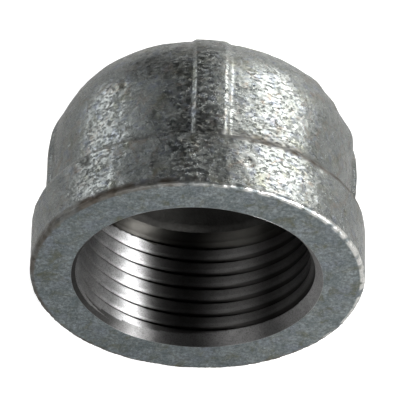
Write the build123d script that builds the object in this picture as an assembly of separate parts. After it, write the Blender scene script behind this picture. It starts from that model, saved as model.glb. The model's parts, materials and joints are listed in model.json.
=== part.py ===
"""Galvanised malleable-iron pipe cap for 1 in pipe, class 150, banded pattern with four ribs.

The cap is one casting with an internal pipe thread cut into it, so it is one solid in one node.
Its axis is the Y axis. The open mouth is the plane Y = 0 and faces -Y; the closed crown is
towards +Y. The ribs lie at +Z, -Z, +X and -X. Lengths are in millimetres, angles in degrees.
"""

from build123d import *
from math import atan2, degrees, radians, sin, tan
import os

# Casting, outside
band_r = 22.5  # the reinforcing band round the mouth
band_width = 7.5
mouth_edge_r = 0.5  # rounding of the band's outer edge at the mouth
shoulder_end = 10.0  # where the band has run down into the plain wall
shoulder_round_r = 1.5  # convex part of the shoulder; the concave part takes up the rest
wall_r = 20.3
knuckle_start = 17.6  # where the wall begins to curve in towards the crown
knuckle_r = 13.3
height = 32.3  # mouth to crown

# Ribs
rib_count = 4
rib_height = 0.55
rib_width = 5.0  # at its foot
rib_flank = 0.8  # the width of each sloping flank
rib_root = 2.0  # how deep the rib's own section reaches into the wall
rib_inner_r = 6.0  # the ribs have died out by this distance from the axis

# Thread: straight internal pipe thread, 1 in, 11.5 threads to the inch, 60 degree form
inch = 25.4
pitch = inch / 11.5
crest_r = 15.25  # minor radius, the bore that the thread is cut into
root_r = 16.45  # major radius
flank_angle = 30.0
root_flat = 0.20
thread_end = 16.4  # the last full thread
crest_edge_at_top = 0.51  # where a crest's inner edge crosses the plane X = 0 under the +Z rib

# Mouth and cavity
countersink_r = 16.9
countersink_depth = 2.0
bore_end = 17.6
core_r = 14.6  # as-cast hollow beyond the tapped bore
core_step_length = 0.6
core_knuckle_start = 18.8
core_knuckle_r = 8.6
crown_thickness = 4.2


def dome(radius, start, corner_r, top):
    """Arcs from (radius, start) round a corner and over a crown to (0, top), as edges."""
    across = radius - corner_r
    rise = top - start
    crown_r = (across**2 + rise**2 - corner_r**2) / (2 * (rise - corner_r))
    crown_y = top - crown_r
    turn = degrees(atan2(start - crown_y, across))
    corner = CenterArc((across, start), corner_r, 0, turn)
    crown = CenterArc((0, crown_y), crown_r, turn, 90 - turn)
    return [corner, crown]


def shoulder():
    """The S-curve from the band down to the wall: a convex arc, then a concave one."""
    drop = band_r - wall_r
    run = shoulder_end - band_width
    turn = 2 * degrees(atan2(drop, run))
    hollow_r = run / sin(radians(turn)) - shoulder_round_r
    convex = CenterArc((band_r - shoulder_round_r, band_width), shoulder_round_r, 0, turn)
    concave = CenterArc((wall_r + hollow_r, shoulder_end), hollow_r, 180 + turn, -turn)
    return [convex, concave]


def revolve_outline(edges):
    """A solid of revolution about Y from a closed outline drawn as radius, Y."""
    return revolve(make_face(Curve() + edges), Axis.Y)


def outer_form():
    flat_r = band_r - mouth_edge_r
    return revolve_outline(
        [
            Line((0, 0), (flat_r, 0)),
            CenterArc((flat_r, mouth_edge_r), mouth_edge_r, -90, 90),
            Line((band_r, mouth_edge_r), (band_r, band_width)),
            *shoulder(),
            Line((wall_r, shoulder_end), (wall_r, knuckle_start)),
            *dome(wall_r, knuckle_start, knuckle_r, height),
            Line((0, height), (0, 0)),
        ]
    )


def rib(angle):
    """One rib: a flat-topped section with sloping flanks, swept up the wall and over the crown.

    It follows the wall's own outline moved straight outwards by the rib's height, so that it
    stands less and less proud as it turns over the crown.
    """
    start = (wall_r, band_width)
    corner, crown = dome(wall_r, knuckle_start, knuckle_r, height)
    crown_share = 1 - rib_inner_r / (crown @ 0).X
    outline = Curve() + [Line(start, (wall_r, knuckle_start)), corner, crown.trim(0, crown_share)]
    path = Pos(rib_height, 0) * outline
    half_base, half_top = rib_width / 2, rib_width / 2 - rib_flank
    corners = [
        (-rib_root, -half_base),
        (-rib_height, -half_base),
        (0, -half_top),
        (0, half_top),
        (-rib_height, half_base),
        (-rib_root, half_base),
    ]
    section_plane = Plane(origin=path @ 0, x_dir=(1, 0, 0), z_dir=(0, 1, 0))
    section = section_plane * make_face(Polyline(*corners, close=True))
    return Rot(0, angle, 0) * sweep(section, path=path)


def cavity():
    return revolve_outline(
        [
            Line((0, 0), (countersink_r, 0)),
            Line((countersink_r, 0), (crest_r, countersink_depth)),
            Line((crest_r, countersink_depth), (crest_r, bore_end)),
            Line((crest_r, bore_end), (core_r, bore_end + core_step_length)),
            Line((core_r, bore_end + core_step_length), (core_r, core_knuckle_start)),
            *dome(core_r, core_knuckle_start, core_knuckle_r, height - crown_thickness),
            Line((0, height - crown_thickness), (0, 0)),
        ]
    )


def thread_groove():
    """The V groove of the thread, as one body swept along a right-hand helix about Y."""
    slope = tan(radians(flank_angle))
    inside_r = crest_r - 0.3  # the cutter reaches into the bore, so that it cuts clean through
    cutter_half = root_flat / 2 + (root_r - inside_r) * slope
    groove_half = root_flat / 2 + (root_r - crest_r) * slope
    # The helix begins a quarter turn past the +Z rib, and two pitches further out, clear of the mouth.
    first = crest_edge_at_top + groove_half + pitch / 4 - 2 * pitch
    helix = Helix(pitch, thread_end - first, inside_r, center=(0, 0, first))
    section_plane = Plane(origin=helix @ 0, x_dir=(1, 0, 0), z_dir=helix % 0)
    corners = [
        (0, -cutter_half),
        (root_r - inside_r, -root_flat / 2),
        (root_r - inside_r, root_flat / 2),
        (0, cutter_half),
    ]
    section = section_plane * make_face(Polyline(*corners, close=True))
    groove = sweep(section, path=helix, is_frenet=True)
    return Rot(-90, 0, 0) * groove


def cap_body():
    body = outer_form()
    for number in range(rib_count):
        body += rib(number * 360 / rib_count)
    body -= cavity()
    body -= thread_groove()
    return body


os.makedirs("parts", exist_ok=True)
cap = cap_body()
cap.label = "cap_body"
export_step(cap, "parts/cap_body.step")
print("cap_body", "solids", len(cap.solids()), "volume", round(cap.volume), "valid", cap.is_valid)
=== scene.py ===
"""The looks of a galvanised malleable-iron pipe cap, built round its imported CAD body.

One closed mesh stands for the CAD node. It runs from the middle of the crown, down the outside,
over the mouth, in along the thread and up the rough hollow to the middle of its roof. Shapes are
worked out in millimetres in the CAD frame and go into Blender in metres.
"""

import json
from math import atan2, ceil, cos, degrees, hypot, pi, radians, sin, tan

import bpy
import numpy as np
from mathutils import Matrix, Vector


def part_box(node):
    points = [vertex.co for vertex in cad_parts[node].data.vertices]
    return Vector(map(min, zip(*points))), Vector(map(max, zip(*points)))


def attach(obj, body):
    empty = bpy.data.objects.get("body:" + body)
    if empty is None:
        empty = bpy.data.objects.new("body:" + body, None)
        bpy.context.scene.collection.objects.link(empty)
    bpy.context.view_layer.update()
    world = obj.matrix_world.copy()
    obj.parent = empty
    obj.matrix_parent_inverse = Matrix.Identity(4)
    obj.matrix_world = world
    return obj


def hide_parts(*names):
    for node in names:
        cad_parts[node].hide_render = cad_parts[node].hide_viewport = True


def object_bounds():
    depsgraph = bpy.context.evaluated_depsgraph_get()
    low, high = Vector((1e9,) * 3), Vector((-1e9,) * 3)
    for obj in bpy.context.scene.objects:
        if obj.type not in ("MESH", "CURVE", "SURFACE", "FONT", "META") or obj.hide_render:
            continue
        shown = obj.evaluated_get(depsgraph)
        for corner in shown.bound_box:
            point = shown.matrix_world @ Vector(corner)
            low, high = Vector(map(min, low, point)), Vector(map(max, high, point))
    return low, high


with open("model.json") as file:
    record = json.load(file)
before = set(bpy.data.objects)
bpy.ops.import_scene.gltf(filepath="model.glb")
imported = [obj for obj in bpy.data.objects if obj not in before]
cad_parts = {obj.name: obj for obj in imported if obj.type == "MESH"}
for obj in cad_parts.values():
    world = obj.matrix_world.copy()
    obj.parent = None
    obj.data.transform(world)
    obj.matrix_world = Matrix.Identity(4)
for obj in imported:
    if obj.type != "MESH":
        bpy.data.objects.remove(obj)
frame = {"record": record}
cad_low, cad_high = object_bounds()

MM = 0.001

# ---- Driving dimensions, in millimetres: the frame's where it holds them, the casting's otherwise
_, node_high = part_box("cap_body")
pipe_thread = next(m for m in frame["record"]["mounts"] if m["name"] == "pipe_thread")
MOUNT_INSET = 6.0  # the thread's mount lies this far in from where its bore starts

BAND_R = node_high.x / MM
HEIGHT = node_high.y / MM
CREST_R = pipe_thread["dims"]["r_mm"]
BORE_START = pipe_thread["pos_m"][1] / MM - MOUNT_INSET
BORE_END = BORE_START + pipe_thread["dims"]["length_mm"]

BAND_WIDTH = 7.5
MOUTH_EDGE_R = 0.5
SHOULDER_END = 10.0
SHOULDER_ROUND_R = 1.5
WALL_R = 20.3
KNUCKLE_START = 17.6
KNUCKLE_R = 13.3

RIB_COUNT = 4
RIB_HEIGHT = 0.55
RIB_TOP = (2.00, 1.90)  # from the rib's middle to its top's two edges, the lower angle's first
RIB_FOOT = (2.50, 2.75)  # and to its two feet
RIB_ROUND = 0.12  # rounding of a flank's corners, as a share of the rib's height
RIB_FADE_R = (6.0, 9.0)  # the ribs die out over the crown between these radii

PITCH = 25.4 / 11.5
ROOT_R = 16.45
ROOT_FLAT = 0.20
FLANK_SLOPE = tan(radians(30))
GROOVE_AT_TOP = 1.303  # Y of the first groove's middle where it passes under the +Z rib
THREAD_FADE = (15.0, 16.6)  # the groove runs out between these Y
# The sand core lay off the thread's axis, so the bore was wider towards one side, and the thread
# is shallow there, with broad crests. Angles here run from +Z towards +X, in degrees.
CORE_SHIFT = 0.95
CORE_SHIFT_ANGLE = -92
CREST_ROUND = 0.05
BORE_BLEND = 1.2  # the last stretch of the bore, where the shift dies out

COUNTERSINK_R = 16.9
COUNTERSINK_EDGE_R = 0.14
CORE_R = 14.6
CORE_STEP = 0.6
CORE_KNUCKLE_START = 18.8
CORE_KNUCKLE_R = 8.6
CROWN_THICKNESS = 4.2
CORE_ROUGHNESS = 1.6  # the hollow's relief over the outside's

# ---- Mesh density
COLUMNS = 720
ROW_STEP = 0.21
CORE_ROW_STEP = 0.45
COLUMN_WIDTH = 2 * pi * BAND_R / COLUMNS
MOST_GROUPED = 16  # columns that may share one point near the axis
POLE_R = 0.02  # a row nearer the axis than this is one point


# ---- Random relief
def cell_values(x, y, z, seed):
    """A repeatable random number from 0 to 1 for each whole-numbered cell."""
    mask = np.uint64(0xFFFFFFFF)
    mixed = x * np.uint64(374761393) + y * np.uint64(668265263) + z * np.uint64(1274126177)
    mixed = (mixed + np.uint64(seed) * np.uint64(974634777)) & mask
    mixed = ((mixed ^ (mixed >> np.uint64(15))) * np.uint64(2246822519)) & mask
    mixed = ((mixed ^ (mixed >> np.uint64(13))) * np.uint64(3266489917)) & mask
    return (mixed ^ (mixed >> np.uint64(16))).astype(float) / float(mask)


def smooth_noise(points, size, seed):
    """Smooth random values from -1 to 1 that change over a distance of size."""
    turned = points @ np.array([[0.80, 0.36, -0.48], [-0.60, 0.48, -0.64], [0.0, 0.80, 0.60]])
    scaled = turned / size + 1000.0
    cell = np.floor(scaled)
    share = scaled - cell
    share = share**3 * (share * (share * 6 - 15) + 10)
    low = cell.astype(np.uint64)
    total = np.zeros(len(points))
    for corner in np.ndindex(2, 2, 2):
        step = np.array(corner, np.uint64)
        weight = np.prod(np.where(step == 1, share, 1 - share), axis=1)
        near = low + step
        total += weight * cell_values(near[:, 0], near[:, 1], near[:, 2], seed)
    return 2 * total - 1


def smooth_step(value, low, high):
    """0 up to low, 1 from high on, smooth between them. high may be the lower number."""
    share = np.clip((value - low) / (high - low), 0, 1)
    return share * share * (3 - 2 * share)


def soft_clip(value, rounding):
    """value held between 0 and 1, with the two corners rounded."""
    above = (value + np.sqrt(value**2 + rounding**2)) / 2
    return above - (above - 1 + np.sqrt((above - 1) ** 2 + rounding**2)) / 2


# ---- Outlines, as rows of radius and Y
def line_rows(first, last, step):
    count = max(1, ceil(hypot(last[0] - first[0], last[1] - first[1]) / step))
    share = np.linspace(0, 1, count + 1)[:, None]
    return np.array(first) * (1 - share) + np.array(last) * share


def arc_rows(centre, radius, first, last, step):
    """Rows along an arc. first and last are angles in degrees, from outwards towards +Y."""
    count = max(2, ceil(radius * abs(radians(last - first)) / step))
    angles = np.radians(np.linspace(first, last, count + 1))
    return np.stack([centre[0] + radius * np.cos(angles), centre[1] + radius * np.sin(angles)], 1)


def dome_rows(radius, start, corner_r, top, step):
    """Rows from (0, top) out over a crown and round a corner to (radius, start)."""
    across = radius - corner_r
    rise = top - start
    crown_r = (across**2 + rise**2 - corner_r**2) / (2 * (rise - corner_r))
    turn = degrees(atan2(start - (top - crown_r), across))
    crown = arc_rows((0, top - crown_r), crown_r, 90, turn, step)
    corner = arc_rows((across, start), corner_r, turn, 0, step)
    return [crown, corner]


def shoulder_rows(step):
    """Rows up the S-curve from the wall to the band: a hollow arc, then a round one."""
    drop = BAND_R - WALL_R
    run = SHOULDER_END - BAND_WIDTH
    turn = 2 * degrees(atan2(drop, run))
    hollow_r = run / sin(radians(turn)) - SHOULDER_ROUND_R
    hollow = arc_rows((WALL_R + hollow_r, SHOULDER_END), hollow_r, 180, 180 + turn, step)
    rounded = arc_rows((BAND_R - SHOULDER_ROUND_R, BAND_WIDTH), SHOULDER_ROUND_R, turn, 0, step)
    return [hollow, rounded]


def joined(stretches):
    """One outline from several that meet end to end, and the number of the stretch of each row."""
    rows, numbers = [stretches[0]], [np.zeros(len(stretches[0]), int)]
    for number, stretch in enumerate(stretches[1:], 1):
        rows.append(stretch[1:])
        numbers.append(np.full(len(stretch) - 1, number))
    return np.concatenate(rows), np.concatenate(numbers)


def row_normals(rows):
    """The direction out of the metal at each row of an outline that starts at the crown."""
    along = np.gradient(rows, axis=0)
    along /= np.linalg.norm(along, axis=1)[:, None]
    return np.stack([-along[:, 1], along[:, 0]], 1)


def cone_radius(y):
    return COUNTERSINK_R - (COUNTERSINK_R - CREST_R) * y / BORE_START


# ---- Points of the mesh
column_angles = np.arange(COLUMNS) * 2 * pi / COLUMNS


def points_round(radius, y, angle):
    """Points at an angle that runs from +Z towards +X."""
    return np.stack([radius * np.sin(angle), y, radius * np.cos(angle)], -1)


def spun(rows):
    """Each row's points all the way round, and the direction out of the metal at each."""
    angle = column_angles[None, :]
    points = points_round(rows[:, :1], np.repeat(rows[:, 1:], COLUMNS, 1), angle)
    out = row_normals(rows)
    normals = points_round(out[:, :1], np.repeat(out[:, 1:], COLUMNS, 1), angle)
    return points, normals


def rib_share(points):
    """How much of the rib's height each point has: 1 on a rib's top, 0 beside it."""
    radius = np.hypot(points[..., 0], points[..., 2])
    angle = np.arctan2(points[..., 0], points[..., 2])
    spacing = 2 * pi / RIB_COUNT
    off = (angle + spacing / 2) % spacing - spacing / 2
    aside = radius * np.sin(off)
    flanks = [
        soft_clip((foot - side * aside) / (foot - top), RIB_ROUND)
        for side, top, foot in zip((-1, 1), RIB_TOP, RIB_FOOT, strict=True)
    ]
    return np.minimum(*flanks) * smooth_step(radius, *RIB_FADE_R)


def with_ribs(points):
    """Moves the wall and crown straight outwards by the ribs' height, where there is a rib."""
    share = rib_share(points)
    radius = np.hypot(points[..., 0], points[..., 2])
    on_wall = points[..., 1] > SHOULDER_END
    rib_r = np.where(on_wall, radius, np.minimum(radius, WALL_R)) + RIB_HEIGHT * share
    above_band = points[..., 1] > BAND_WIDTH
    new_r = np.where(above_band, np.maximum(radius, rib_r), radius)
    scale = np.where(radius > 0, new_r / np.maximum(radius, 1e-9), 1.0)
    return points * np.stack([scale, np.ones_like(scale), scale], -1)


def cast_relief(points, seed):
    """Height of a sand-cast, hot-dipped surface: waves, and lumps and grain in patches."""

    def layer(height, size, number):
        return height * smooth_noise(points, size, seed + number)

    waves = layer(0.10, 7.0, 0) + layer(0.05, 3.4, 1)
    lumps = layer(0.055, 1.5, 2)
    grain = layer(0.032, 0.72, 3) + layer(0.018, 0.40, 4)
    patches = 0.65 + layer(0.35, 5.0, 5)
    return waves + (lumps + grain) * patches


DENTS = [  # angle from +Z towards +X, Y, radius, height
    (-47, 7.6, 0.75, -0.30),
    (-44, 8.1, 0.55, 0.14),
    (-62, 14.0, 0.80, -0.16),
    (-35, 19.0, 0.55, -0.14),
    (-21, 13.0, 0.60, -0.12),
    (41, 7.2, 0.90, -0.14),
    (75, 20.9, 2.20, 0.62),
    (64, 23.9, 1.20, 0.20),
    (55, 25.7, 1.50, 0.25),
    (86, 16.2, 3.00, 0.18),
    (135, 14.0, 1.10, -0.22),
    (158, 5.0, 0.90, 0.18),
    (203, 17.0, 1.00, -0.20),
    (228, 4.4, 1.20, -0.16),
    (249, 12.6, 0.80, 0.22),
]
FULLER = [(60, 0.47), (-60, 0.16)]  # where the crown stands fuller than drawn: angle, height
FULLER_SPREAD = 32  # degrees to each side
FULLER_START = (9.5, 20.0)  # it sets in from the first of these Y to the second
FULLER_END = (31.5, 27.5)  # and dies out from the second of these to the first
PIT_COUNT = 170
PIT_SEED = 11
PIT_RADIUS = (0.25, 0.60)
PIT_HEIGHT = (-0.11, 0.07)


def spot_relief(points, places, radii, heights):
    """Round dents and lumps of the given heights."""
    flat = points.reshape(-1, 3)
    relief = np.zeros(len(flat))
    for place, radius, height in zip(places, radii, heights, strict=True):
        near = np.flatnonzero(np.abs(flat[:, 1] - place[1]) < 3 * radius)
        off = ((flat[near] - place) ** 2).sum(1) / radius**2
        relief[near] += height * np.exp(-off)
    return relief.reshape(points.shape[:-1])


def dent_relief(points, rows):
    """The few big dents and lumps, and many small pits scattered at random."""
    outside = rows[rows[:, 1] > MOUTH_EDGE_R]
    wall_order = np.argsort(outside[:, 1])
    places, radii, heights = [], [], []
    for angle, y, radius, height in DENTS:
        wall = np.interp(y, outside[wall_order, 1], outside[wall_order, 0])
        places.append(points_round(wall, y, radians(angle)))
        radii.append(radius)
        heights.append(height)
    random = np.random.default_rng(PIT_SEED)
    for _ in range(PIT_COUNT):
        radius, y = outside[random.integers(len(outside))]
        places.append(points_round(radius, y, random.uniform(0, 2 * pi)))
        radii.append(random.uniform(*PIT_RADIUS))
        heights.append(random.uniform(*PIT_HEIGHT))
    return spot_relief(points, np.array(places), radii, heights)


def fullness(rows):
    """How far the crown stands out beyond the drawn outline, at each row and column."""
    y = rows[:, 1:]
    on_crown = smooth_step(y, *FULLER_START) * smooth_step(y, *FULLER_END)
    around = 0.0
    for angle, height in FULLER:
        off = (np.degrees(column_angles)[None, :] - angle + 180) % 360 - 180
        around += height * np.exp(-((off / FULLER_SPREAD) ** 2))
    return on_crown * around


STRETCHES = "crown knuckle wall hollow rounded band mouth_edge face cut_edge cone".split()
FACE_FINISH = {"mouth_edge", "face"}
CUT_FINISH = {"cut_edge", "cone"}
# How much of the cast relief a stretch has, where it isn't all of it, and the rows to each side
# over which that changes
CAST_SHARE = {"mouth_edge": 0.55, "face": 0.22, "cut_edge": 0.10, "cone": 0.04}
BLEND_ROWS = 3
CHIP_DEPTH = 0.07
SHADED_HOLLOW_ANGLE = 42  # painted shade darkens the hollow of the shoulder round this angle
SHADED_HOLLOW_SPREAD = (49, 19)  # not at all from the first of these on, and fully up to the second
LIT_EDGE_ANGLE = 62  # the mouth's outer edge gets its wear and a painted highlight mostly round this angle, and painted shade elsewhere
# Painted shade darkens the grooves, and a share of it the crests: the narrow ones, where the bore
# is moved out by little of CORE_SHIFT, and the broadest, where it is moved out by nearly all of it.
# Of each pair, the painted shade sets in at the first number and is full at the second.
GROOVE_SHADE_DEPTH = (0.22, 0.48)
CREST_SHADE = 0.90
CREST_SHADE_SHIFT = (0.80, 0.66)
BROAD_CREST_SHADE = 0.45
BROAD_CREST_SHADE_SHIFT = (0.88, 0.95)
STREAK_RADIUS = 2.2  # the tool's marks are noise drawn on a bore this small, so they run round
TOOL_MARK_HEIGHT = 0.006
TEAR_HEIGHT = 0.008
TEARS_START = (2.0, 4.0)  # the tears on the crests set in from the first of these Y to the second
THREAD_ZONE_START = 0.45  # Y on the countersink where the helical rows begin
THREAD_ZONE_FADE = 0.3  # the tool's marks and tears set in over this length
THREAD_ROWS = (6, 2, 6, 10)  # mesh rows on a groove's flank, root and other flank, and its crest
EDGE_STEP = 0.05
MOUTH_EDGE_STEP = 0.09


def outside_rows():
    """The outline from the crown's middle to just inside the countersink, with its stretches."""
    cone_turn = degrees(atan2(COUNTERSINK_R - CREST_R, BORE_START))
    edge_turn = 90 - cone_turn
    edge_run = COUNTERSINK_EDGE_R * tan(radians(edge_turn / 2))
    edge_start = (COUNTERSINK_R + edge_run, 0.0)
    edge_centre = (edge_start[0], COUNTERSINK_EDGE_R)
    cut_edge = arc_rows(edge_centre, COUNTERSINK_EDGE_R, 270, 270 - edge_turn, EDGE_STEP)
    flat_r = BAND_R - MOUTH_EDGE_R
    stretches = [
        *dome_rows(WALL_R, KNUCKLE_START, KNUCKLE_R, HEIGHT, ROW_STEP),
        line_rows((WALL_R, KNUCKLE_START), (WALL_R, SHOULDER_END), ROW_STEP),
        *shoulder_rows(ROW_STEP),
        line_rows((BAND_R, BAND_WIDTH), (BAND_R, MOUTH_EDGE_R), ROW_STEP),
        arc_rows((flat_r, MOUTH_EDGE_R), MOUTH_EDGE_R, 0, -90, MOUTH_EDGE_STEP),
        line_rows((flat_r, 0.0), edge_start, ROW_STEP),
        cut_edge,
        line_rows(cut_edge[-1], (cone_radius(THREAD_ZONE_START), THREAD_ZONE_START), ROW_STEP),
    ]
    return joined(stretches)


def outside_points():
    """Points of the outside and mouth, each row's stretch, and the marks that the materials read.

    The marks are the cast relief, the wear with its painted highlight, and the painted shade on
    the zinc and on the cut metal.
    """
    rows, numbers = outside_rows()
    names = np.array(STRETCHES)[numbers]
    y = rows[:, 1:]
    share = np.array([CAST_SHARE.get(name, 1.0) for name in names])
    window = 2 * BLEND_ROWS + 1
    share = np.pad(share, BLEND_ROWS, mode="edge")
    share = np.convolve(share, np.ones(window) / window, mode="valid")[:, None]
    points, normals = spun(rows)
    points = with_ribs(points)
    shape = points.shape[:2]
    flat = points.reshape(-1, 3)

    def noise(size, seed):
        return smooth_noise(flat, size, seed).reshape(shape)

    relief = cast_relief(flat, 3).reshape(shape) + dent_relief(points, rows)
    on_edge = (names == "mouth_edge")[:, None]
    chips = CHIP_DEPTH * np.clip(noise(1.6, 41) + noise(0.38, 42), 0, None) * on_edge
    height = relief * share - chips + fullness(rows)

    # Wear on the mouth's outer edge, kept mostly to its lit side, where it is also a painted
    # highlight
    wear = on_edge * smooth_step(noise(0.8, 43), -0.7, 0.3)
    # Painted shade: in the shoulder's hollow round one angle, and along the mouth's edge away from
    # its lit side
    in_hollow = smooth_step(y, SHOULDER_END + 1.2, SHOULDER_END - 0.3)
    in_hollow = in_hollow * smooth_step(y, BAND_WIDTH - 0.2, BAND_WIDTH + 0.4)
    off = np.abs(np.degrees(column_angles) - SHADED_HOLLOW_ANGLE)[None, :]
    stain = in_hollow * smooth_step(np.minimum(off, 360 - off), *SHADED_HOLLOW_SPREAD)
    stain = stain * (0.8 + 0.4 * noise(1.1, 44))
    lit_side = smooth_step(np.cos(column_angles - radians(LIT_EDGE_ANGLE)), 0.1, 0.7)[None, :]
    near_edge = on_edge + smooth_step(y, 1.6, 0.7) * (names == "band")[:, None]
    stain += near_edge * (1 - lit_side) * (0.7 + 0.5 * noise(1.3, 45))
    wear *= 0.1 + 0.9 * lit_side
    # Painted shade on the countersink, heavier towards -X and lighter towards +X
    bore_shade = np.isin(names, list(CUT_FINISH))[:, None] * cone_shade(column_angles)
    # The groove mark carries the painted shade on the cut metal
    marks = {"relief": relief, "wear": wear, "stain": stain, "groove": bore_shade}
    return points + normals * height[..., None], names, marks


def cone_shade(angle):
    """How much painted shade the countersink gets: most at -X, least near +X."""
    dark_side = 0.20 * np.clip(-np.sin(angle), 0, 1) ** 4
    light_side = 0.50 * np.clip(np.sin(angle - 0.2), 0, 1) ** 8
    return 0.76 + dark_side - light_side


def crest_radius(angle):
    """Radius of the bore that the thread is cut into."""
    return CREST_R + CORE_SHIFT * (1 + np.cos(angle - radians(CORE_SHIFT_ANGLE))) / 2


def groove_half_width(angle):
    """Half the width of the groove at its crests' corners."""
    return ROOT_FLAT / 2 + (ROOT_R - crest_radius(angle)) * FLANK_SLOPE


def row_offsets(angle):
    """Where one turn's rows lie from the groove's middle, at each angle, from flank to crest."""
    half = groove_half_width(angle)
    flat = np.full_like(half, ROOT_FLAT / 2)
    corners = [-half, -flat, flat, half, PITCH - half]
    offsets = []
    for first, last, count in zip(corners[:-1], corners[1:], THREAD_ROWS, strict=True):
        offsets += [first + (last - first) * share for share in np.arange(count) / count]
    return np.array(offsets)


def thread_radius(y, angle):
    """Radius of the threaded bore, with its crests' corners a little rounded."""
    crest = crest_radius(angle)
    crest += (CREST_R - crest) * smooth_step(y, BORE_END - BORE_BLEND, BORE_END)
    along = (y - GROOVE_AT_TOP - PITCH * angle / (2 * pi) + PITCH / 2) % PITCH - PITCH / 2
    groove = ROOT_R - np.maximum(np.abs(along) - ROOT_FLAT / 2, 0) / FLANK_SLOPE
    deepest = (ROOT_R - CREST_R) * smooth_step(y, THREAD_FADE[1], THREAD_FADE[0])
    groove = np.minimum(groove, crest + deepest)
    apart = groove - crest
    return crest + (apart + np.sqrt(apart**2 + CREST_ROUND**2)) / 2


def thread_points():
    """Points of the thread, their Y before relief, the rows in a turn, and the painted shade on it.

    The rows climb with the helix. A row's last column meets the first column of the row one turn
    further in. Rows that would lie outside the zone are held at its ends.
    """
    offsets = row_offsets(column_angles)
    in_turn = len(offsets)
    first_y = GROOVE_AT_TOP - 2 * PITCH  # two turns out, clear of the mouth
    turns = ceil(1 + (BORE_END - first_y) / PITCH)
    turn = np.repeat(np.arange(turns), in_turn)[:, None]
    climb = PITCH * (turn + column_angles[None, :] / (2 * pi))
    y = np.clip(first_y + climb + np.tile(offsets, (turns, 1)), THREAD_ZONE_START, BORE_END)
    angle = np.repeat(column_angles[None, :], len(y), 0)
    radius = np.maximum(thread_radius(y, angle), cone_radius(y))
    base = points_round(radius, y, angle)
    flat = base.reshape(-1, 3)
    streaks = np.stack([angle * STREAK_RADIUS, y, np.zeros_like(y)], -1).reshape(-1, 3)
    tool_marks = smooth_noise(streaks, 0.16, 51).reshape(y.shape)
    tears = np.clip(smooth_noise(flat, 0.45, 52) - 0.25, 0, None).reshape(y.shape)
    on_crest = 1 - smooth_step(radius - crest_radius(angle), 0.0, 0.2)
    torn = TEAR_HEIGHT * tears * on_crest * smooth_step(y, *TEARS_START)
    height = TOOL_MARK_HEIGHT * tool_marks + torn
    height *= smooth_step(y, THREAD_ZONE_START, THREAD_ZONE_START + THREAD_ZONE_FADE)
    inwards = points_round(-1.0, 0.0 * y, angle)
    # Painted shade: deep in the grooves, and on the crests outside the bright strip; cone_shade on
    # the countersink
    in_groove = smooth_step(radius - crest_radius(angle), *GROOVE_SHADE_DEPTH)
    shifted = (crest_radius(angle) - CREST_R) / CORE_SHIFT
    crest_shade = CREST_SHADE * smooth_step(shifted, *CREST_SHADE_SHIFT)
    crest_shade += BROAD_CREST_SHADE * smooth_step(shifted, *BROAD_CREST_SHADE_SHIFT)
    on_thread = cone_radius(y) < radius
    bore_shade = np.where(on_thread, np.maximum(in_groove, crest_shade), cone_shade(angle))
    return base + inwards * height[..., None], y, in_turn, bore_shade


def core_points():
    """Points of the rough hollow beyond the thread, from the bore's end to the roof's middle."""
    top = HEIGHT - CROWN_THICKNESS
    roof = dome_rows(CORE_R, CORE_KNUCKLE_START, CORE_KNUCKLE_R, top, CORE_ROW_STEP)
    rows, _ = joined(
        [
            line_rows((CREST_R, BORE_END), (CORE_R, BORE_END + CORE_STEP), CORE_ROW_STEP),
            line_rows((CORE_R, BORE_END + CORE_STEP), (CORE_R, CORE_KNUCKLE_START), CORE_ROW_STEP),
            roof[1][::-1],
            roof[0][::-1],
        ]
    )
    points, normals = spun(rows)
    shape = points.shape[:2]
    relief = CORE_ROUGHNESS * cast_relief(points.reshape(-1, 3), 71).reshape(shape)
    relief[0] = 0
    return points + normals * relief[..., None]


# ---- The mesh
def column_grouping(radius):
    """How many columns share one point on a row of this radius, so that faces keep their shape."""
    group = 1
    while group < MOST_GROUPED and 2 * pi * radius / COLUMNS * group < COLUMN_WIDTH / 2:
        group *= 2
    return group


def ring_ids(points, first_id):
    """The number of each point of a grid of rings. Small rings share points between columns."""
    ids = np.zeros(points.shape[:2], int)
    column = np.arange(COLUMNS)
    for row, ring in enumerate(points):
        radius = np.hypot(ring[:, 0], ring[:, 2]).mean()
        group = column_grouping(radius) if radius > POLE_R else COLUMNS
        ids[row] = first_id + row * COLUMNS + column // group * group
    return ids


def quads_between(ids):
    """The four corners of each face of a grid of rings."""
    beside = np.roll(ids, -1, axis=1)
    return np.stack([ids[:-1], ids[1:], beside[1:], beside[:-1]], -1)


def thread_quads(ids, in_turn):
    """As quads_between, but each row runs on into the row one turn further in."""
    last = len(ids) - 1
    beside = np.roll(ids, -1, axis=1)
    beside[:, -1] = ids[np.minimum(np.arange(len(ids)) + in_turn, last), 0]
    return np.stack([ids[:-1], ids[1:], beside[1:], beside[:-1]], -1)


def clean_faces(quads, finishes):
    """Faces as lists of corners without repeats, and their finishes. Empty faces are dropped."""
    same_as_next = quads == np.roll(quads, -1, axis=1)
    repeats = same_as_next.sum(1)
    whole = repeats == 0
    three = repeats == 1
    corners = quads[three][~same_as_next[three]].reshape(-1, 3)
    faces = quads[whole].tolist() + corners.tolist()
    return faces, np.concatenate([finishes[whole], finishes[three]])


CAST, FACE, CUT, CORE = range(4)  # the finishes' slots, in the order in which make_cap adds them


def finish_of(stretch):
    return FACE if stretch in FACE_FINISH else CUT if stretch in CUT_FINISH else CAST


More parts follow.
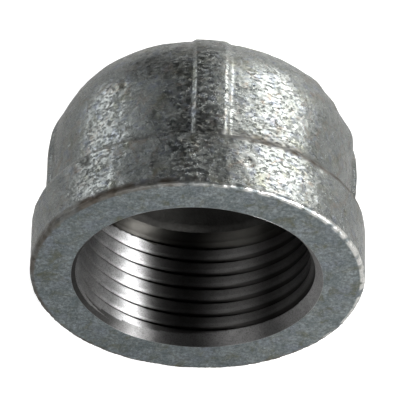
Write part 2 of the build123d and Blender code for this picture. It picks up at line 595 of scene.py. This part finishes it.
def cap_mesh():
    """The cap as one closed mesh, with each face's finish and the marks that the materials read."""
    outer, names, marks = outside_points()
    thread, thread_y, in_turn, bore_shade = thread_points()
    core = core_points()
    outer_count = outer.shape[0] * COLUMNS
    thread_count = thread.shape[0] * COLUMNS
    outer_ids = ring_ids(outer, 0)
    core_ids = ring_ids(core, outer_count + thread_count)
    # The thread's held rows are the outside's last ring at one end, the core's first at the other
    thread_ids = outer_count + np.arange(thread_count).reshape(-1, COLUMNS)
    thread_ids = np.where(thread_y <= THREAD_ZONE_START, outer_ids[-1], thread_ids)
    thread_ids = np.where(thread_y >= BORE_END, core_ids[0], thread_ids)
    outer_quads = quads_between(outer_ids).reshape(-1, 4)
    cut_quads = thread_quads(thread_ids, in_turn).reshape(-1, 4)
    core_quads = quads_between(core_ids).reshape(-1, 4)
    quads = np.concatenate([outer_quads, cut_quads, core_quads])
    outer_finishes = np.repeat([finish_of(name) for name in names[1:]], COLUMNS)
    inner_finishes = np.repeat([CUT, CORE], [len(cut_quads), len(core_quads)])
    finishes = np.concatenate([outer_finishes, inner_finishes])
    faces, finishes = clean_faces(quads, finishes)
    everything = np.concatenate([outer.reshape(-1, 3), thread.reshape(-1, 3), core.reshape(-1, 3)])
    used = np.unique(np.concatenate([np.ravel(f) for f in faces]))
    new_number = np.full(len(everything), -1)
    new_number[used] = np.arange(len(used))
    faces = [[int(new_number[corner]) for corner in face] for face in faces]
    mesh = bpy.data.meshes.new("galvanised_cap")
    mesh.from_pydata((everything[used] * MM).tolist(), [], faces)
    mesh.polygons.foreach_set("material_index", finishes.astype(np.int32))
    mesh.polygons.foreach_set("use_smooth", np.ones(len(faces), bool))
    # The groove mark: painted shade on the countersink and in the thread
    marks["groove"] = np.concatenate([marks["groove"], bore_shade])
    for name, values in marks.items():
        full = np.zeros(len(everything), np.float32)
        full[: values.size] = values.ravel()
        attribute = mesh.attributes.new(name, "FLOAT", "POINT")
        attribute.data.foreach_set("value", full[used])
    mesh.update()
    return mesh


# ---- Materials
# The colour of the wear and painted highlight on the mouth's edge
WEAR_AND_HIGHLIGHT_BRIGHT = (0.62, 0.62, 0.60, 1)
CUT_END = (15.30, 15.45)  # the bright cut metal ends between these Y
CUT_END_WAVER = 0.45  # and its end wavers by this much to each side
BRUSH_RADIUS = 2.0  # the brushed lines are noise drawn on a bore this small, so they run round


class Nodes:
    """A material's node tree, with short calls for the nodes that these finishes share."""

    def __init__(self, name):
        self.material = bpy.data.materials.new(name)
        self.material.use_nodes = True
        self.tree = self.material.node_tree
        self.shader = self.tree.nodes["Principled BSDF"]
        self.place = self.tree.nodes.new("ShaderNodeTexCoord").outputs["Object"]

    def link(self, source, target):
        self.tree.links.new(source, target)

    def fill(self, socket, value):
        """Links value where it is another node's output, and sets it where it is a number."""
        if isinstance(value, bpy.types.NodeSocket):
            self.link(value, socket)
        else:
            socket.default_value = value

    def noise(self, size_mm, detail=2.0, roughness=0.5, distortion=0.0, place=None):
        """Smooth noise with features of about size_mm."""
        node = self.tree.nodes.new("ShaderNodeTexNoise")
        node.inputs["Scale"].default_value = 1 / (size_mm * MM)
        node.inputs["Detail"].default_value = detail
        node.inputs["Roughness"].default_value = roughness
        node.inputs["Distortion"].default_value = distortion
        self.link(place or self.place, node.inputs["Vector"])
        return node.outputs["Fac"]

    def stretched(self, scale):
        """The place on the cap, scaled by a different number along X, Y and Z."""
        node = self.tree.nodes.new("ShaderNodeVectorMath")
        node.operation = "MULTIPLY"
        self.link(self.place, node.inputs[0])
        node.inputs[1].default_value = scale
        return node.outputs[0]

    def spread(self, value, low, high, to_low=0.0, to_high=1.0):
        """value's range from low to high, stretched to the range from to_low to to_high."""
        node = self.tree.nodes.new("ShaderNodeMapRange")
        self.link(value, node.inputs["Value"])
        node.inputs["From Min"].default_value = low
        node.inputs["From Max"].default_value = high
        node.inputs["To Min"].default_value = to_low
        node.inputs["To Max"].default_value = to_high
        return node.outputs["Result"]

    def math(self, operation, first, second=0.0):
        node = self.tree.nodes.new("ShaderNodeMath")
        node.operation = operation
        self.fill(node.inputs[0], first)
        self.fill(node.inputs[1], second)
        return node.outputs[0]

    def mix(self, share, first, second, blend="MIX"):
        node = self.tree.nodes.new("ShaderNodeMix")
        node.data_type = "RGBA"
        node.blend_type = blend
        self.fill(node.inputs["Factor"], share)
        self.fill(node.inputs["A"], first)
        self.fill(node.inputs["B"], second)
        return node.outputs["Result"]

    def attribute(self, name):
        node = self.tree.nodes.new("ShaderNodeAttribute")
        node.attribute_name = name
        return node.outputs["Fac"]

    def bump(self, height, depth_mm, under=None):
        node = self.tree.nodes.new("ShaderNodeBump")
        node.inputs["Strength"].default_value = 1.0
        node.inputs["Distance"].default_value = depth_mm * MM
        self.link(height, node.inputs["Height"])
        if under is not None:
            self.link(under, node.inputs["Normal"])
        return node.outputs["Normal"]

    def finish(self, colour, roughness, normal, metallic):
        self.fill(self.shader.inputs["Base Color"], colour)
        self.fill(self.shader.inputs["Roughness"], roughness)
        self.fill(self.shader.inputs["Metallic"], metallic)
        self.link(normal, self.shader.inputs["Normal"])
        return self.material


def cast_zinc():
    """Zinc over a sand-cast skin: grainy, mottled, with olive and brown stains, and painted shade
    in the shoulder's hollow and near the mouth.
    """
    n = Nodes("cast_zinc")
    mottle = n.spread(n.noise(3.2, 4.0, 0.62), 0.35, 0.66)
    speck = n.spread(n.noise(0.34, 3.0, 0.6), 0.36, 0.64)
    colour = n.mix(mottle, (0.125, 0.143, 0.145, 1), (0.225, 0.243, 0.240, 1))
    colour = n.mix(n.math("MULTIPLY", speck, 0.6), colour, (0.31, 0.322, 0.312, 1))
    blue = n.spread(n.noise(1.3, 3.0, 0.6, 0.4), 0.52, 0.68, 0.0, 0.6)
    colour = n.mix(blue, colour, (0.150, 0.172, 0.225, 1))
    olive = n.spread(n.noise(2.6, 4.0, 0.62, 0.6), 0.54, 0.70, 0.0, 0.7)
    colour = n.mix(olive, colour, (0.155, 0.160, 0.122, 1))
    brown = n.spread(n.noise(2.1, 4.0, 0.62, 1.0), 0.55, 0.70, 0.0, 0.65)
    colour = n.mix(brown, colour, (0.185, 0.150, 0.122, 1))
    # Darker where the relief sinks: in pits, dents and the troughs of the waves
    pits = n.spread(n.attribute("relief"), -0.03, -0.17, 0.0, 0.75)
    colour = n.mix(pits, colour, (0.060, 0.063, 0.058, 1))
    # Painted shade in the shoulder's hollow and along the mouth's edge
    colour = n.mix(n.attribute("stain"), colour, (0.052, 0.043, 0.034, 1))
    # Wear with a painted highlight on the mouth's edge
    colour = n.mix(n.attribute("wear"), colour, WEAR_AND_HIGHLIGHT_BRIGHT)
    roughness = n.spread(n.noise(0.8, 3.0, 0.6), 0.35, 0.65, 0.20, 0.34)
    roughness = n.math("ADD", roughness, n.math("MULTIPLY", n.attribute("stain"), 0.25))
    ripples = n.stretched((0.42, 1.0, 0.70))
    pores = n.bump(n.spread(n.noise(0.36, 4.0, 0.65, 0.0, ripples), 0.30, 0.48), 0.062)
    grain = n.bump(n.noise(0.27, 3.0, 0.6, 0.0, ripples), 0.048, pores)
    return n.finish(colour, roughness, grain, 0.92)


def face_zinc():
    """Zinc over the faced rim: smoother, blue-green grey, dull, lightly scuffed and stained, with
    wear and a painted highlight on one side of its outer edge and painted shade along the rest.
    """
    n = Nodes("face_zinc")
    mottle = n.spread(n.noise(2.4, 5.0, 0.65), 0.36, 0.66)
    colour = n.mix(mottle, (0.142, 0.172, 0.182, 1), (0.300, 0.335, 0.345, 1))
    blue = n.spread(n.noise(3.7, 3.0, 0.6, 0.5), 0.5, 0.7, 0.0, 0.6)
    colour = n.mix(blue, colour, (0.215, 0.240, 0.295, 1))
    olive = n.spread(n.noise(2.6, 4.0, 0.66, 0.8), 0.52, 0.66, 0.0, 0.8)
    colour = n.mix(olive, colour, (0.125, 0.125, 0.072, 1))
    dark = n.spread(n.noise(0.55, 4.0, 0.68), 0.40, 0.62, 0.75, 0.0)
    colour = n.mix(dark, colour, (0.085, 0.097, 0.095, 1))
    specks = n.spread(n.noise(0.30, 2.0, 0.6), 0.60, 0.75, 0.0, 0.6)
    colour = n.mix(specks, colour, (0.42, 0.45, 0.45, 1))
    # Painted shade along the mouth's edge, then its wear and painted highlight
    colour = n.mix(n.attribute("stain"), colour, (0.075, 0.062, 0.048, 1))
    colour = n.mix(n.attribute("wear"), colour, WEAR_AND_HIGHLIGHT_BRIGHT)
    roughness = n.spread(n.noise(0.7, 3.0, 0.6), 0.35, 0.65, 0.40, 0.58)
    roughness = n.math("SUBTRACT", roughness, n.math("MULTIPLY", n.attribute("wear"), 0.2))
    scuffs = n.bump(n.noise(0.55, 4.0, 0.6), 0.10)
    fine = n.bump(n.noise(0.20, 2.0, 0.5), 0.035, scuffs)
    return n.finish(colour, roughness, fine, 0.85)


def cut_thread():
    """Bright cut metal, brushed round the axis by the tap, so that its shine spreads along Y."""
    n = Nodes("cut_thread")
    split = n.tree.nodes.new("ShaderNodeSeparateXYZ")
    n.link(n.place, split.inputs[0])
    angle = n.math("ARCTAN2", split.outputs["X"], split.outputs["Z"])
    stretched = n.tree.nodes.new("ShaderNodeCombineXYZ")
    n.link(n.math("MULTIPLY", angle, BRUSH_RADIUS * MM), stretched.inputs["X"])
    n.link(split.outputs["Y"], stretched.inputs["Y"])
    lines = n.noise(0.14, 3.0, 0.6, 0.0, stretched.outputs[0])
    shade = n.spread(n.noise(1.6, 4.0, 0.65), 0.35, 0.65)
    colour = n.mix(shade, (0.52, 0.52, 0.525, 1), (0.70, 0.70, 0.70, 1))
    colour = n.mix(n.spread(lines, 0.55, 0.75, 0.0, 0.4), colour, (0.34, 0.33, 0.325, 1))
    grains = n.spread(n.noise(0.17, 3.0, 0.7), 0.50, 0.62, 0.0, 0.55)
    colour = n.mix(grains, colour, (0.16, 0.155, 0.15, 1))
    # Painted shade in the grooves, on the crests outside the bright strip and on the countersink
    colour = n.mix(n.attribute("groove"), colour, (0.050, 0.048, 0.046, 1))
    waver = CUT_END_WAVER * MM
    uneven = n.spread(n.noise(1.5, 1.0, 0.4), 0.3, 0.7, -waver, waver)
    end = n.math("ADD", split.outputs["Y"], uneven)
    uncut = n.spread(end, CUT_END[0] * MM, CUT_END[1] * MM)
    # Beyond the cut: as-cast metal, darker than the cut, and darkened further to near black as
    # painted shade of the deep bore
    colour = n.mix(uncut, colour, (0.060, 0.058, 0.053, 1))
    roughness = n.spread(n.noise(0.5, 3.0, 0.6), 0.35, 0.65, 0.46, 0.54)
    normal = n.bump(n.noise(0.20, 3.0, 0.6), 0.013, n.bump(lines, 0.011))
    tangent = n.tree.nodes.new("ShaderNodeTangent")
    tangent.direction_type = "RADIAL"
    tangent.axis = "Y"
    n.link(tangent.outputs[0], n.shader.inputs["Tangent"])
    n.shader.inputs["Anisotropic"].default_value = 1.0
    n.shader.inputs["Anisotropic Rotation"].default_value = 0.25
    return n.finish(colour, roughness, normal, 1.0)


def rough_core():
    """Dull zinc in the as-cast hollow, its colour held near black as painted shade."""
    n = Nodes("rough_core")
    mottle = n.spread(n.noise(2.5, 4.0, 0.6), 0.35, 0.65)
    colour = n.mix(mottle, (0.024, 0.023, 0.021, 1), (0.036, 0.035, 0.032, 1))
    roughness = n.spread(n.noise(0.8, 3.0, 0.6), 0.35, 0.65, 0.75, 0.9)
    return n.finish(colour, roughness, n.bump(n.noise(0.35, 3.0, 0.6), 0.12), 0.3)


# ---- The piece
def make_cap():
    mesh = cap_mesh()
    for make in (cast_zinc, face_zinc, cut_thread, rough_core):
        mesh.materials.append(make())
    cap = bpy.data.objects.new("galvanised_cap", mesh)
    bpy.context.scene.collection.objects.link(cap)
    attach(cap, "root")
    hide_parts("cap_body")
    return cap


# ---- The stage
FLOOR_SIZE = 6.0
FLOOR_SHADE = 0.90  # the floor as the camera sees it
FLOOR_GLOW = 0.62  # light that the camera sees it give off
FLOOR_BOUNCE = 0.65  # the floor as every other ray meets it, such as one that the metal reflects
BACKDROP = 0.75  # the surroundings as the camera sees them
SURROUNDINGS = [(0.0, 0.03), (0.75, 0.02)]  # and as other rays do: height from 0 to 1, shade
LIGHT_DISTANCE = 0.6
FRONT_FILL_DISTANCE = 0.7


def grey(shade):
    return (shade, shade, shade, 1)


def show(tree, to_camera, to_others, output):
    """Gives camera rays one shader and all other rays another. Returns which rays are which."""
    camera_ray = tree.nodes.new("ShaderNodeLightPath").outputs["Is Camera Ray"]
    share = tree.nodes.new("ShaderNodeMixShader")
    tree.links.new(camera_ray, share.inputs[0])
    tree.links.new(to_others.outputs[0], share.inputs[1])
    tree.links.new(to_camera.outputs[0], share.inputs[2])
    tree.links.new(share.outputs[0], tree.nodes[output].inputs["Surface"])
    return camera_ray


def make_floor():
    """A plain, nearly white floor under the cap's lowest point."""
    mesh = bpy.data.meshes.new("floor")
    half = FLOOR_SIZE / 2
    z = cad_low.z
    corners = [(-half, -half, z), (half, -half, z), (half, half, z), (-half, half, z)]
    mesh.from_pydata(corners, [], [(0, 1, 2, 3)])
    material = bpy.data.materials.new("pale_floor")
    material.use_nodes = True
    tree = material.node_tree
    shader = tree.nodes["Principled BSDF"]
    shader.inputs["Base Color"].default_value = grey(FLOOR_SHADE)
    shader.inputs["Roughness"].default_value = 0.9
    shader.inputs["Specular IOR Level"].default_value = 0.1
    shader.inputs["Emission Color"].default_value = grey(1.0)
    dim = tree.nodes.new("ShaderNodeBsdfDiffuse")
    dim.inputs["Color"].default_value = grey(FLOOR_BOUNCE)
    camera_ray = show(tree, shader, dim, "Material Output")
    # show() already keeps the glow from other rays, but without this the render's noise differs
    glow = tree.nodes.new("ShaderNodeMath")
    glow.operation = "MULTIPLY"
    glow.inputs[1].default_value = FLOOR_GLOW
    tree.links.new(camera_ray, glow.inputs[0])
    tree.links.new(glow.outputs[0], shader.inputs["Emission Strength"])
    mesh.materials.append(material)
    floor = bpy.data.objects.new("floor", mesh)
    bpy.context.scene.collection.objects.link(floor)


def make_world():
    """Dark surroundings for the metal to reflect, and a plain pale backdrop for the camera."""
    world = bpy.data.worlds.new("studio")
    bpy.context.scene.world = world
    world.use_nodes = True
    tree = world.node_tree
    place = tree.nodes.new("ShaderNodeTexCoord")
    split = tree.nodes.new("ShaderNodeSeparateXYZ")
    ramp = tree.nodes.new("ShaderNodeValToRGB")
    tree.links.new(place.outputs["Generated"], split.inputs[0])
    tree.links.new(split.outputs["Z"], ramp.inputs["Fac"])
    for stop, (height, shade) in zip(ramp.color_ramp.elements, SURROUNDINGS, strict=True):
        stop.position = height
        stop.color = grey(shade)
    surroundings = tree.nodes["Background"]
    tree.links.new(ramp.outputs["Color"], surroundings.inputs["Color"])
    backdrop = tree.nodes.new("ShaderNodeBackground")
    backdrop.inputs["Color"].default_value = grey(BACKDROP)
    show(tree, backdrop, surroundings, "World Output")


def softbox(name, towards, size, power, colour=(1, 1, 1), distance=LIGHT_DISTANCE):
    """A rectangular light of this width and height that shines on the cap from one direction."""
    light = bpy.data.lights.new(name, "AREA")
    light.shape = "RECTANGLE"
    light.size, light.size_y = size
    light.energy = power
    light.color = colour
    lamp = bpy.data.objects.new(name, light)
    bpy.context.scene.collection.objects.link(lamp)
    away = Vector(towards).normalized()
    lamp.location = Vector((0, HEIGHT * MM / 2, 0)) + away * distance
    lamp.rotation_euler = away.to_track_quat("Z", "Y").to_euler()
    lamp.visible_camera = False


def make_lights():
    """The lights, each with its direction from the cap, its size in metres, and its watts."""
    softbox("key", (0.610, 0.640, 0.468), (0.38, 0.38), 3.6, (1.0, 0.975, 0.935))
    softbox("back", (0.36, 0.87, 0.30), (0.24, 0.26), 0.55, (1.0, 0.985, 0.96))
    softbox("left_rim", (-0.85, 0.50, 0.10), (0.40, 0.28), 1.15)
    softbox("overhead", (0.21, 0.56, 0.80), (0.10, 0.30), 0.07)
    softbox("front_fill", (-0.50, -0.75, 0.42), (0.40, 0.30), 1.6, distance=FRONT_FILL_DISTANCE)
    softbox("left_fill", (-0.60, 0.56, 0.57), (0.25, 0.25), 0.16)
    softbox("bore_light", (0.607, -0.74, 0.271), (0.12, 0.14), 4.6)


VIEW_RISE = 34.18  # degrees between the line of sight and the plane of the mouth
ROLL = -1.87
TURN = 3.1  # the cap is turned this far about its own axis, seen from the camera
AIM = (-0.38 * MM, -10.5 * MM)  # where the middle of the mouth lies from the middle of the view
CAMERA_DISTANCE = 1.0
IMAGE_WIDTH = 400
SCALE = 7.45  # pixels to a millimetre, in the plane through the mouth's middle
VIEW_WIDTH = IMAGE_WIDTH / SCALE * MM


def make_camera():
    rise, turn, roll = radians(VIEW_RISE), radians(TURN), radians(ROLL)
    up = Vector((-sin(turn), 0, cos(turn)))
    side = Vector((cos(turn), 0, sin(turn)))
    along = Vector((0, 1, 0))
    back = cos(rise) * up - sin(rise) * along
    top = cos(rise) * along + sin(rise) * up
    right = cos(roll) * side - sin(roll) * top
    above = sin(roll) * side + cos(roll) * top
    data = bpy.data.cameras.new("camera")
    data.sensor_width = 36.0
    data.lens = data.sensor_width * CAMERA_DISTANCE / VIEW_WIDTH
    data.clip_start = 0.01
    data.clip_end = 20.0
    camera = bpy.data.objects.new("camera", data)
    bpy.context.scene.collection.objects.link(camera)
    camera.location = back * CAMERA_DISTANCE - right * AIM[0] - above * AIM[1]
    axes = Matrix((right, above, back)).transposed()
    camera.rotation_euler = axes.to_euler()
    bpy.context.scene.camera = camera


make_cap()
make_floor()
make_world()
make_lights()
make_camera()
bpy.context.scene.view_settings.view_transform = "Standard"
